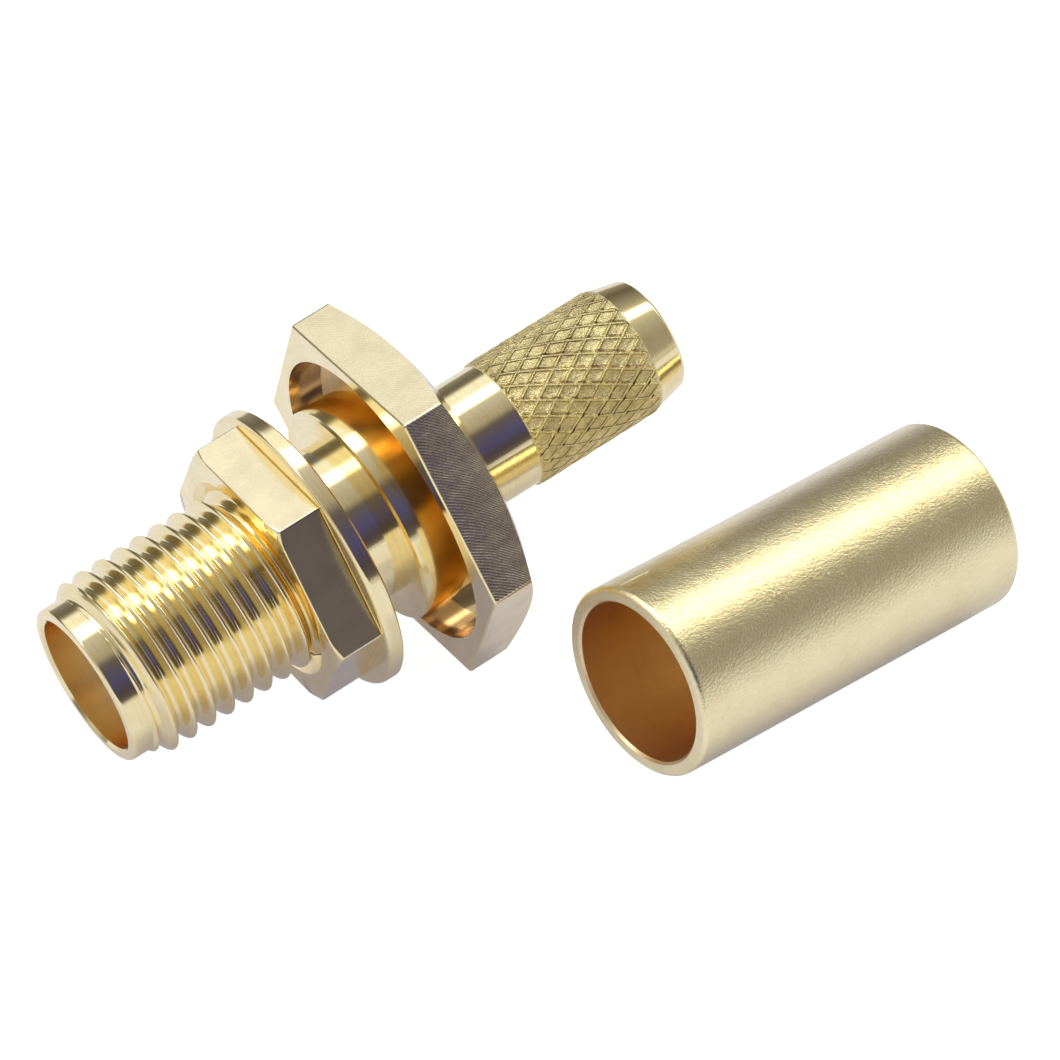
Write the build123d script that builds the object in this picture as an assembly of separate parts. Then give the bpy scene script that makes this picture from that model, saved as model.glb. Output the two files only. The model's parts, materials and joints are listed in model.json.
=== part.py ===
from build123d import *
from math import asin, atan2, cos, degrees, hypot, radians, sin, tan
import os

# Bulkhead crimp jack of the quarter-inch coaxial screw family, with its panel nut and washer on the
# barrel, and its crimp ferrule lying beside it. All sizes are in millimetres.
# Stations are measured along the connector's own axis, from the mating end towards the cable.

# Threaded barrel. Ring grooves with the thread's pitch, depth and flanks stand for its helix.
thread_pitch = 25.4 / 36
thread_major_d = 6.25
thread_depth = 0.4
thread_crest = 0.088
thread_flank_angle = 30.0
thread_grooves = 10
first_groove_station = 1.557
lip_d = 5.42
lip_length = 0.72
lip_edge_break = 0.1
thread_end_station = 8.9
relief_d = 5.36

# Pilot boss, sealing groove and hexagonal flange
flange_front_station = 11.28
flange_thickness = 2.0
flange_across_flats = 11.0
flange_corner_break = 0.12
flange_back_land_d = 10.1
flange_back_angle = 25.0
pilot_d = 7.5
pilot_length = 1.0
pilot_edge_break = 0.08
groove_outer_d = 10.06
groove_depth = 1.13

# Neck and crimp stem
neck_d = 4.32
neck_length = 2.65
stem_d = 4.5
stem_length = 4.75
collar_d = 4.36
collar_end_d = 3.92
collar_length = 1.12
collar_edge_break = 0.1

# Bores of the body
socket_bore_d = 4.6
socket_depth = 1.9
socket_lead_in = 0.09
insulator_bore_d = 4.1
insulator_seat_station = 12.6
cup_chamber_d = 3.5
cup_chamber_end_station = 15.4
cable_bore_d = 3.05
cable_lead_in = 0.15

# Insulator and centre contact
insulator_clearance = 0.01
contact_d = 1.27
contact_clearance = 0.01
contact_collar_d = 2.0
contact_collar_length = 0.8
cup_d = 1.6
cup_length = 2.3
cup_bore_d = 1.0
cup_bore_depth = 1.9
pin_socket_d = 0.94
pin_socket_depth = 2.7
spring_slot_width = 0.16
spring_slot_length = 2.2

# Panel nut and washer
nut_across_flats = 8.0
nut_thickness = 1.6
nut_front_station = 6.5
nut_chamfer_d = 8.7
nut_chamfer_angle = 30.0
nut_corner_break = 0.06
nut_countersink_d = 6.95
nut_running_clearance = 0.03
nut_roll = 3.7
washer_d = 9.7
washer_thickness = 0.5
washer_edge_radius = 0.16
washer_back_break = 0.06
washer_running_clearance = 0.1
washer_gap = 0.08

# Crimp ferrule
ferrule_d = 6.4
ferrule_bore_d = 5.4
ferrule_length = 13.2
ferrule_edge_break = 0.1
ferrule_bore_break = 0.08
ferrule_offset_x = 13.95
ferrule_offset_y = -9.75
ferrule_yaw = 5.4

# Stations that follow from the sizes above
pilot_front_station = flange_front_station - pilot_length
groove_floor_station = flange_front_station + groove_depth
flange_back_station = flange_front_station + flange_thickness
web_station = (groove_floor_station + flange_back_station) / 2
stem_station = flange_back_station + neck_length
collar_station = stem_station + stem_length
rear_station = collar_station + collar_length
washer_front_station = nut_front_station + nut_thickness + washer_gap


def revolved(outline):
    """Solid of revolution about the connector axis, from (station, radius) points of a closed outline."""
    points = [(station, radius, 0) for station, radius in outline]
    return revolve(make_face(Polyline(*points, close=True)), Axis.X)


def cylinder_between(start, end, diameter):
    """Plain cylinder on the connector axis from one station to another."""
    return Plane.YZ.offset(start) * extrude(Circle(diameter / 2), end - start)


def hex_prism(across_flats, start, thickness, corner_break, roll=0.0):
    """Hexagonal bar on the connector axis with a flat facing down, its long edges broken by a small radius."""
    outline = RegularPolygon(across_flats / 2, 6, major_radius=False)
    outline = fillet(outline.vertices(), corner_break)
    bar = Plane.YZ.offset(start) * extrude(outline, thickness)
    return bar.rotate(Axis.X, roll)


def chamfer_turning(across_flats, land_d, angle, start, end):
    """Turned envelope of a hexagon: full width at start, narrowing at the given angle to land_d at end."""
    reach = across_flats
    drop = (reach - land_d / 2) * tan(radians(angle))
    rise = 1 if end > start else -1
    return revolved([(start, 0), (start, reach), (end - rise * drop, reach), (end, land_d / 2), (end, 0)])


def groove_outline():
    """Outline points of the thread's ring grooves, each from its front flank to its back one."""
    crest_r = thread_major_d / 2
    root_r = crest_r - thread_depth
    flank = thread_depth * tan(radians(thread_flank_angle))
    half_mouth = (thread_pitch - thread_crest) / 2
    half_root = half_mouth - flank
    points = []
    for number in range(thread_grooves):
        middle = first_groove_station + number * thread_pitch
        points += [(middle - half_mouth, crest_r), (middle - half_root, root_r),
                   (middle + half_root, root_r), (middle + half_mouth, crest_r)]
    return points


def barrel_outline():
    """Outline of the turned body from the mating lip to the end of the crimp stem, without the flange."""
    thread_r, lip_r, relief_r = thread_major_d / 2, lip_d / 2, relief_d / 2
    neck_r, stem_r, collar_r, end_r = neck_d / 2, stem_d / 2, collar_d / 2, collar_end_d / 2
    return [
        (0, 0), (0, lip_r), (lip_length, lip_r),
        (lip_length + (thread_r - lip_r), thread_r), *groove_outline(),
        (thread_end_station - (thread_r - relief_r), thread_r),
        (thread_end_station, relief_r), (pilot_front_station, relief_r),
        (pilot_front_station, pilot_d / 2), (web_station, pilot_d / 2), (web_station, neck_r),
        (stem_station, neck_r), (stem_station + (stem_r - neck_r), stem_r),
        (collar_station - (stem_r - collar_r), stem_r), (collar_station, collar_r),
        (rear_station, end_r), (rear_station, 0),
    ]


def edges_at(shape, station, radius):
    """Circular edges of a shape that lie at one station with one radius."""
    circles = shape.edges().filter_by(GeomType.CIRCLE)
    return circles.filter_by(lambda e: abs(e.arc_center.X - station) < 1e-4 and abs(e.radius - radius) < 1e-4)


def make_body():
    """Body turned and milled from one bar: lip, barrel, pilot boss, grooved hexagonal flange, neck and stem."""
    barrel = revolved(barrel_outline())
    barrel = chamfer(edges_at(barrel, 0, lip_d / 2), lip_edge_break)
    barrel = chamfer(edges_at(barrel, rear_station, collar_end_d / 2), collar_edge_break)
    barrel = chamfer(edges_at(barrel, pilot_front_station, pilot_d / 2), pilot_edge_break)

    flange = hex_prism(flange_across_flats, flange_front_station, flange_thickness, flange_corner_break)
    flange &= chamfer_turning(flange_across_flats, flange_back_land_d, flange_back_angle,
                              flange_front_station, flange_back_station)
    flange -= cylinder_between(flange_front_station, groove_floor_station, groove_outer_d)
    body = barrel + flange

    bores = revolved([
        (0, 0), (0, socket_bore_d / 2 + socket_lead_in), (socket_lead_in, socket_bore_d / 2),
        (socket_depth, socket_bore_d / 2), (socket_depth, insulator_bore_d / 2),
        (insulator_seat_station, insulator_bore_d / 2), (insulator_seat_station, cup_chamber_d / 2),
        (cup_chamber_end_station, cup_chamber_d / 2), (cup_chamber_end_station, cable_bore_d / 2),
        (rear_station - cable_lead_in, cable_bore_d / 2),
        (rear_station, cable_bore_d / 2 + cable_lead_in), (rear_station, 0),
    ])
    return body - bores


def make_insulator():
    """Insulating sleeve that fills the barrel, with a counterbore behind for the contact's collar."""
    sleeve = cylinder_between(socket_depth, insulator_seat_station, insulator_bore_d - 2 * insulator_clearance)
    collar_seat = insulator_seat_station - contact_collar_length
    through = cylinder_between(socket_depth, collar_seat, contact_d + 2 * contact_clearance)
    counterbore = cylinder_between(collar_seat, insulator_seat_station, contact_collar_d + 2 * contact_clearance)
    return sleeve - through - counterbore


def make_contact():
    """Centre contact: slotted spring socket in front, collar seated in the insulator, solder cup behind."""
    collar_seat = insulator_seat_station - contact_collar_length
    cup_end = insulator_seat_station + cup_length
    contact = revolved([
        (socket_depth, 0), (socket_depth, contact_d / 2), (collar_seat, contact_d / 2),
        (collar_seat, contact_collar_d / 2), (insulator_seat_station, contact_collar_d / 2),
        (insulator_seat_station, cup_d / 2), (cup_end, cup_d / 2), (cup_end, 0),
    ])
    contact -= cylinder_between(socket_depth, socket_depth + pin_socket_depth, pin_socket_d)
    contact -= cylinder_between(cup_end - cup_bore_depth, cup_end, cup_bore_d)
    slot = Box(spring_slot_length, 2 * contact_d, spring_slot_width, align=(Align.MIN, Align.CENTER, Align.CENTER))
    for turn in (0, 90):
        contact -= Pos(socket_depth, 0, 0) * slot.rotate(Axis.X, turn)
    return contact


def make_nut():
    """Thin hexagonal panel nut with a turned chamfer in front and a countersink at both ends of its thread."""
    bore_d = thread_major_d + 2 * nut_running_clearance
    back = nut_front_station + nut_thickness
    sink = (nut_countersink_d - bore_d) / 2
    nut = hex_prism(nut_across_flats, nut_front_station, nut_thickness, nut_corner_break, nut_roll)
    nut &= chamfer_turning(nut_across_flats, nut_chamfer_d, nut_chamfer_angle, back, nut_front_station)
    return nut - revolved([
        (nut_front_station, 0), (nut_front_station, nut_countersink_d / 2), (nut_front_station + sink, bore_d / 2),
        (back - sink, bore_d / 2), (back, nut_countersink_d / 2), (back, 0),
    ])


def make_washer():
    """Stamped washer, loose on the barrel behind the nut: its rim is rounded in front and sheared behind."""
    back = washer_front_station + washer_thickness
    disc = cylinder_between(washer_front_station, back, washer_d)
    disc = fillet(edges_at(disc, washer_front_station, washer_d / 2), washer_edge_radius)
    disc = chamfer(edges_at(disc, back, washer_d / 2), washer_back_break)
    return disc - cylinder_between(washer_front_station, back, thread_major_d + 2 * washer_running_clearance)


def make_ferrule():
    """Crimp ferrule: a plain drawn tube with its end edges broken, its front end at the local origin."""
    tube = cylinder_between(0, ferrule_length, ferrule_d)
    tube = chamfer(edges_at(tube, 0, ferrule_d / 2) + edges_at(tube, ferrule_length, ferrule_d / 2),
                   ferrule_edge_break)
    tube -= cylinder_between(0, ferrule_length, ferrule_bore_d)
    return chamfer(edges_at(tube, 0, ferrule_bore_d / 2) + edges_at(tube, ferrule_length, ferrule_bore_d / 2),
                   ferrule_bore_break)


def tilt_on(station, drop, rounding=0.0):
    """Tilt in degrees at which the flange's lower front edge and a round shoulder touch one floor.

    The shoulder's rounding is an arc whose centre lies at the station, at the given drop below the axis.
    """
    run = flange_front_station - station
    rise = flange_across_flats / 2 - drop
    return degrees(atan2(rise, run) - asin(rounding / hypot(run, rise)))


# The connector lies nose down on its flange. Whichever shoulder meets the floor first sets the tilt.
rest_tilt = min(
    tilt_on(washer_front_station + washer_edge_radius, washer_d / 2 - washer_edge_radius, washer_edge_radius),
    tilt_on(lip_length + (thread_major_d - lip_d) / 2, thread_major_d / 2),
)
axis_height = (flange_across_flats / 2 * cos(radians(rest_tilt))
               - flange_front_station * sin(radians(rest_tilt)))
lying = Pos(0, 0, axis_height) * Rot(0, -rest_tilt, 0)
beside = Pos(ferrule_offset_x, ferrule_offset_y, ferrule_d / 2) * Rot(0, 0, ferrule_yaw)

parts = {
    "body": lying * make_body(),
    "insulator": lying * make_insulator(),
    "centre_contact": lying * make_contact(),
    "panel_nut": lying * make_nut(),
    "washer": lying * make_washer(),
    "crimp_ferrule": beside * make_ferrule(),
}

# The origin is under the middle of the whole part, on the surface that it lies on.
boxes = [solid.bounding_box() for solid in parts.values()]
middle_x = (min(box.min.X for box in boxes) + max(box.max.X for box in boxes)) / 2
middle_y = (min(box.min.Y for box in boxes) + max(box.max.Y for box in boxes)) / 2
to_origin = Pos(-middle_x, -middle_y, 0)

os.makedirs("parts", exist_ok=True)
for name, solid in parts.items():
    export_step(to_origin * solid, f"parts/{name}.step")
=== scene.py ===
"""Gold-plated sma connector for crimping onto cable, with its panel nut, washer and crimp ferrule.

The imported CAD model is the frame. Every turned piece is a skin worked out on its own axis: points are
given by station (distance along the axis), radius and azimuth, and carried into the row frame in metres.
Sizes are in millimetres until they reach a mesh.
"""

import json
import logging
import math
from dataclasses import dataclass, field
from enum import Enum, IntEnum
from typing import Any, Optional, Sequence, Union

import bmesh
import bpy
import numpy as np
from mathutils import Matrix, Vector


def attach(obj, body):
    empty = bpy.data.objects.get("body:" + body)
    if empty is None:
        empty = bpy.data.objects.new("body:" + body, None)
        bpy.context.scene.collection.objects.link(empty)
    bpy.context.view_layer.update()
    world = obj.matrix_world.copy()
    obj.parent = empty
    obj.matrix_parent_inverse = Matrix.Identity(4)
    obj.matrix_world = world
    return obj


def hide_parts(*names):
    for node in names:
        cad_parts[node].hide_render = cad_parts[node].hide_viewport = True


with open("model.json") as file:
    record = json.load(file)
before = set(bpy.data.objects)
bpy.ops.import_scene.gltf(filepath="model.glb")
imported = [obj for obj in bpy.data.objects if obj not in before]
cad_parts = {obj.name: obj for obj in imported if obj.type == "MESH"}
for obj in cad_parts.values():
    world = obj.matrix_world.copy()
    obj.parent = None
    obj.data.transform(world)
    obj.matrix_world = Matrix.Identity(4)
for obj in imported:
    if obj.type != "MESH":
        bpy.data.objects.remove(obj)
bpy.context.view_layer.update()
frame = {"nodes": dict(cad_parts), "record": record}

MM = 0.001
MICROMETRE = 1e-6
TURN = 2.0 * math.pi
SIXTH = TURN / 6.0
WELD_DISTANCE = 2e-7
SHARP_ANGLE = math.radians(35)

log = logging.getLogger("sma_connector")

Vec3 = tuple[float, float, float]
Number = Union[float, "Value"]


def mount(name: str) -> dict[str, Any]:
    """Returns the record's mount of that name."""
    return next(m for m in frame["record"]["mounts"] if m["name"] == name)


def smooth_step(low: float, high: float, value: np.ndarray) -> np.ndarray:
    """Returns 0 below low, 1 above high and 3t^2 - 2t^3 between, for an array."""
    t = np.clip((value - low) / (high - low), 0.0, 1.0)
    return t * t * (3.0 - 2.0 * t)


@dataclass(frozen=True)
class Axis:
    """A piece's own axis, with the directions from which azimuth is measured.

    Azimuth 0 points along side and 90 along up.
    """

    origin: Vector
    along: Vector
    side: Vector
    up: Vector

    @classmethod
    def of_mount(cls, name: str, station: float, sense: float) -> "Axis":
        """Axis through a mount of the record.

        Args:
            name: the mount that lies on the axis.
            station: its distance from the axis's own zero, in mm.
            sense: 1 where the axis runs with the mount's direction, -1 where it runs against it.

        Returns:
            The axis, with side kept level.
        """
        entry = mount(name)
        along = (Vector(entry["axis"]) * sense).normalized()
        side = Vector((0.0, 0.0, 1.0)).cross(along).normalized()
        origin = Vector(entry["pos_m"]) - along * (station * MM)
        return cls(origin, along, side, along.cross(side))

    def place(self, station: np.ndarray, radius: np.ndarray, azimuth: np.ndarray) -> np.ndarray:
        """Origin + station * along + radius * (cos(azimuth) * side + sin(azimuth) * up).

        Args:
            station: distances along the axis, in mm.
            radius: distances from the axis, in mm.
            azimuth: angles round the axis, in radians.

        Returns:
            Points in the row frame, in metres, in an array with one more axis of length 3.
        """
        parts = (station, radius * np.cos(azimuth), radius * np.sin(azimuth))
        arms = (self.along, self.side, self.up)
        moved = sum(part[..., None] * np.array(arm) for part, arm in zip(parts, arms))
        return np.array(self.origin) + moved * MM

    def mapping(self) -> tuple[Vec3, Vec3]:
        """Returns the location and Euler turn of a Mapping node that reads points on this axis in mm."""
        turn = Matrix((self.along, self.side, self.up)).transposed().to_euler()
        return tuple(self.origin), tuple(turn)


def even_azimuths(columns: int) -> np.ndarray:
    """Returns azimuths spread evenly over a turn, from 0."""
    return np.arange(columns) * (TURN / columns)


def arc(station: float, radius: float, bend: float, start: float, end: float, steps: int = 5) -> np.ndarray:
    """Outline points on a circle of radius bend round (station, radius), from start to end degrees.

    Args:
        station: the arc centre's station.
        radius: the arc centre's distance from the axis.
        bend: the arc's own radius.
        start: first angle, from the direction of the axis.
        end: last angle.
        steps: number of straight steps.

    Returns:
        An array of (station, radius) rows.
    """
    angle = np.radians(np.linspace(start, end, steps + 1))
    return np.column_stack((station + bend * np.cos(angle), radius + bend * np.sin(angle)))


def outline(*pieces: Union[tuple[float, float], np.ndarray], gap: float = 0.03) -> np.ndarray:
    """Joins corner points and arcs into one outline, with a guard point near both ends of each long step.

    The guards keep a flat band flat when it is shaded beside a rounded edge.

    Args:
        pieces: (station, radius) pairs and arrays of them, in order.
        gap: distance of a guard from its corner, in mm.

    Returns:
        An array of (station, radius) rows.
    """
    corners = np.vstack([np.atleast_2d(np.asarray(p, float)) for p in pieces])
    start, step = corners[:-1], np.diff(corners, axis=0)
    length = np.hypot(step[:, 0], step[:, 1])
    unit = step / np.maximum(length, 1e-9)[:, None]
    rows = np.stack((start, start + unit * gap, start + step - unit * gap), axis=1)
    keep = np.ones(rows.shape[:2], bool)
    keep[:, 1:] = (length > 4.0 * gap)[:, None]
    return np.vstack((rows[keep], corners[-1:]))


@dataclass(frozen=True)
class Hexagon:
    """Rounded hexagon round an axis, as a polar curve; its corners lie at roll + 60n degrees."""

    across_flats: float
    corner_break: float
    roll: float = 0.0
    flat_points: int = 22
    corner_steps: int = 4
    guard: float = 0.004

    @property
    def _corner_centre(self) -> float:
        """Distance of the corner arc's centre from the axis."""
        return (self.across_flats / 2 - self.corner_break) / math.cos(SIXTH / 2)

    @property
    def _corner_half(self) -> float:
        """Half the angle that a corner arc takes up at the axis, in radians."""
        run = self._corner_centre + self.corner_break * math.cos(SIXTH / 2)
        return math.atan2(self.corner_break * math.sin(SIXTH / 2), run)

    def azimuths(self) -> np.ndarray:
        """Azimuths for a turn: each corner arc finely, a guard on both sides of it, then the flat evenly.

        Returns:
            The azimuths in rising order, in radians.
        """
        half = self._corner_half
        corner = np.linspace(-half, half, self.corner_steps + 1)
        flat = np.linspace(half + self.guard, SIXTH - half - self.guard, self.flat_points)
        one = np.concatenate((corner, flat))
        turn = np.arange(6)[:, None] * SIXTH + one[None, :] + math.radians(self.roll)
        return np.sort(np.mod(turn.ravel(), TURN))

    def radius(self, azimuth: np.ndarray) -> np.ndarray:
        """Distance of the outline from the axis.

        With w the angle from the nearest corner, the flats are (AF/2) / cos(30 deg - |w|), and the corner
        arc is c cos w + sqrt(break^2 - c^2 sin^2 w), where c is the distance of its centre.

        Args:
            azimuth: angles round the axis, in radians.

        Returns:
            The distances, in mm.
        """
        w = np.mod(azimuth - math.radians(self.roll) + SIXTH / 2, SIXTH) - SIXTH / 2
        flats = (self.across_flats / 2) / np.cos(SIXTH / 2 - np.abs(w))
        c = self._corner_centre
        inside = np.maximum(self.corner_break**2 - (c * np.sin(w)) ** 2, 0.0)
        corner = c * np.cos(w) + np.sqrt(inside)
        return np.where(np.abs(w) < self._corner_half, corner, flats)


@dataclass(frozen=True)
class Thread:
    """Rounded sixty-degree screw thread, right-handed about its axis."""

    pitch: float = 25.4 / 36
    major_radius: float = 3.125
    depth: float = 0.40
    crest_flat: float = 0.044
    flank_run: float = 0.231
    rounding: float = 0.12
    crest_azimuth: float = -137.0
    crest_station: float = 1.381
    samples: int = 20

    def radius(self, turn: np.ndarray) -> np.ndarray:
        """Radius at a phase of the profile, where whole numbers are crests.

        x is the distance from the crest less its flat, over the flank's run, and
        r = major - depth * (sqrt(x^2 + e^2) - sqrt((x - 1)^2 + e^2) + 1) / 2.

        Args:
            turn: phases, in pitches.

        Returns:
            The radii, in mm.
        """
        v = np.abs(turn - np.round(turn)) * self.pitch
        x = (v - self.crest_flat) / self.flank_run
        e = self.rounding
        fall = (np.sqrt(x * x + e * e) - np.sqrt((x - 1.0) ** 2 + e * e) + 1.0) / 2.0
        return self.major_radius - self.depth * fall

    def lattice(self, start: float, end: float, azimuth: np.ndarray) -> tuple[np.ndarray, np.ndarray]:
        """Helical rows of points between two stations, gathered on the end rings where they run out.

        Row j and column c lie at station s0 + pitch * (azimuth / 360 deg + j / samples).

        Args:
            start: station of the first ring.
            end: station of the last ring.
            azimuth: the columns, spread over one turn from 0.

        Returns:
            Stations and bare profile radii, each as an array of rows by columns.
        """
        share = azimuth / TURN
        first = self.crest_station - self.pitch * self.crest_azimuth / 360.0
        first -= self.pitch * math.ceil((first - start) / self.pitch + 1.0)
        rows = math.ceil((end - first) / self.pitch * self.samples) + 1
        turn = share[None, :] + np.arange(rows)[:, None] / self.samples
        station = np.clip(first + self.pitch * turn, start, end)
        radius = self.radius((station - first) / self.pitch - share[None, :])
        return station, radius


@dataclass(frozen=True)
class Knurl:
    """Two crossing families of pressed ridges on the crimp stem.

    A family's ridges lie at azimuth cross +/- helix * (s - cross station) + n turns of one tooth.
    """

    start: float = 15.93
    end: float = 20.68
    fade: float = 0.12
    teeth: int = 24
    helix: float = 15.2
    cross_azimuth: float = 147.5
    cross_station: float = 16.7
    ridge_radius: float = 2.25
    pit_radius: float = 2.185
    rising_height: float = 0.86
    rising_width: float = 0.15
    falling_width: float = 0.17

    def radius(self, station: np.ndarray, azimuth: np.ndarray) -> np.ndarray:
        """Radius at a point: exp(-(d / width)^2) of the distance d from the nearest ridge, in teeth.

        The higher of the two families wins.

        Args:
            station: distances along the axis, in mm.
            azimuth: angles round the axis, in radians.

        Returns:
            The radii, in mm.
        """
        step = 360.0 / self.teeth
        base = np.degrees(azimuth) - self.cross_azimuth
        sweep = self.helix * (station - self.cross_station)
        rising, falling = (base - sweep) / step, (base + sweep) / step
        d_rising = np.abs(rising - np.round(rising)) / self.rising_width
        d_falling = np.abs(falling - np.round(falling)) / self.falling_width
        ridge = np.maximum(self.rising_height * np.exp(-(d_rising**2)), np.exp(-(d_falling**2)))
        return self.pit_radius + (self.ridge_radius - self.pit_radius) * ridge


class Shell:
    """One closed skin, gathered from bands of points round an axis."""

    def __init__(self, axis: Axis) -> None:
        """Starts an empty skin.

        Args:
            axis: the axis that its points are given on.
        """
        self.axis = axis
        self.points: list[np.ndarray] = []
        self.faces: list[np.ndarray] = []
        self.finishes: list[int] = []
        self.count = 0

    def _add(self, points: np.ndarray) -> np.ndarray:
        """Keeps points and numbers them.

        Args:
            points: an array whose last axis has length 3.

        Returns:
            Their numbers, in the shape of the array without its last axis.
        """
        shape = points.shape[:-1]
        numbers = self.count + np.arange(int(np.prod(shape))).reshape(shape)
        self.points.append(points.reshape(-1, 3))
        self.count += numbers.size
        return numbers

    def band(self, station: Any, radius: Any, azimuth: np.ndarray, finish: int, lead: int = 0) -> None:
        """Adds rows of rings, each joined to the next.

        Args:
            station: stations that broadcast to rows by columns.
            radius: radii that broadcast to rows by columns.
            azimuth: azimuths of the columns.
            finish: number of the finish on the faces.
            lead: rows that a helical lattice gains in one turn.
        """
        s, r, p = np.broadcast_arrays(station, radius, azimuth)
        here = self._add(self.axis.place(s, r, p))
        right = np.roll(here, -1, axis=1)
        if lead:
            right[:, -1] = here[np.minimum(np.arange(len(here)) + lead, len(here) - 1), 0]
        quads = np.stack((here[:-1], here[1:], right[1:], right[:-1]), axis=-1).reshape(-1, 4)
        self.faces.append(quads)
        self.finishes += [finish] * len(quads)

    def turned(self, points: np.ndarray, azimuth: np.ndarray, finish: int) -> None:
        """Adds a surface of revolution from an outline of (station, radius) rows."""
        self.band(points[:, :1], points[:, 1:], azimuth, finish)

    def rings(self, azimuth: np.ndarray, finish: int, rings: Sequence[tuple[Any, Any]]) -> None:
        """Adds a band through (station, radius) rings, where either may vary round the axis."""
        rows = [np.broadcast_arrays(s, r, azimuth) for s, r in rings]
        self.band(np.stack([row[0] for row in rows]), np.stack([row[1] for row in rows]), azimuth, finish)

    def join(self, station: float, radii: tuple[Any, Any], azimuths: tuple[np.ndarray, np.ndarray],
             finish: int) -> None:
        """Closes the flat ring between two circles whose points don't match.

        The edges of both circles are put in order of the azimuth of their middles, and each makes a
        triangle with the other circle's point that has been reached.

        Args:
            station: the station of the ring.
            radii: radius of each circle.
            azimuths: azimuths of the points on each circle.
            finish: number of the finish on the faces.
        """
        numbers, middles = [], []
        for radius, azimuth in zip(radii, azimuths):
            s, r, p = np.broadcast_arrays(station, radius, azimuth)
            numbers.append(self._add(self.axis.place(s, r, p)))
            ahead = np.append(azimuth[1:], azimuth[0] + TURN)
            middles.append((azimuth + ahead) / 2.0)
        for here, there, rule in ((0, 1, "left"), (1, 0, "right")):
            reached = np.searchsorted(middles[there], middles[here], side=rule) % len(numbers[there])
            ends = np.roll(numbers[here], -1)
            tips = numbers[there][reached]
            faces = np.stack((numbers[here], ends, tips, tips), axis=-1)
            self.faces.append(faces)
            self.finishes += [finish] * len(faces)

    def build(self, name: str, materials: Sequence[bpy.types.Material]) -> bpy.types.Object:
        """Makes the mesh, welded, facing outwards and smooth but for its real edges.

        Args:
            name: the piece's name.
            materials: the finishes, in the order of their numbers.

        Returns:
            The object, at the origin.
        """
        points = np.vstack(self.points)
        faces = np.vstack(self.faces)
        finishes = np.array(self.finishes)
        whole = faces[:, 2] != faces[:, 3]
        order = np.concatenate((finishes[whole], finishes[~whole]))
        mesh = bpy.data.meshes.new(name)
        mesh.from_pydata(points, [], faces[whole].tolist() + faces[~whole][:, :3].tolist())
        mesh.polygons.foreach_set("material_index", order.astype(np.int32))
        work = bmesh.new()
        work.from_mesh(mesh)
        bmesh.ops.remove_doubles(work, verts=work.verts, dist=WELD_DISTANCE)
        bmesh.ops.recalc_face_normals(work, faces=work.faces)
        work.to_mesh(mesh)
        work.free()
        mesh.shade_smooth()
        mesh.set_sharp_from_angle(angle=SHARP_ANGLE)
        for material in materials:
            mesh.materials.append(material)
        piece = bpy.data.objects.new(name, mesh)
        bpy.context.scene.collection.objects.link(piece)
        return piece


class Value:
    """A shader number that adds Math nodes as it is used in an expression."""

    def __init__(self, sheet: "Sheet", socket: bpy.types.NodeSocket) -> None:
        """Wraps a node's output socket."""
        self.sheet = sheet
        self.socket = socket

    def math(self, operation: str, *terms: Number) -> "Value":
        """Returns the result of a Math node on this value and the terms."""
        node = self.sheet.node("ShaderNodeMath", {"operation": operation},
                               {i: t for i, t in enumerate((self, *terms))})
        return Value(self.sheet, node.outputs[0])

    def __add__(self, other: Number) -> "Value":
        """Returns self + other."""
        return self.math("ADD", other)

    __radd__ = __add__

    def __mul__(self, other: Number) -> "Value":
        """Returns self * other."""
        return self.math("MULTIPLY", other)

    __rmul__ = __mul__

    def __sub__(self, other: Number) -> "Value":
        """Returns self - other."""
        return self.math("SUBTRACT", other)

    def __rsub__(self, other: float) -> "Value":
        """Returns other - self."""
        return (self * -1.0) + other

    def __truediv__(self, other: Number) -> "Value":
        """Returns self / other."""
        return self.math("DIVIDE", other)

    def between(self, low: float, high: float) -> "Value":
        """Returns 0 below low and 1 above high, smoothly; low may be the larger."""
        node = self.sheet.node("ShaderNodeMapRange", {"interpolation_type": "SMOOTHSTEP"},
                               {0: self, 1: low, 2: high, 3: 0.0, 4: 1.0})
        return Value(self.sheet, node.outputs[0])

    def clamped(self) -> "Value":
        """Returns the value held between 0 and 1."""
        return self.math("MAXIMUM", 0.0).math("MINIMUM", 1.0)


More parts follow.
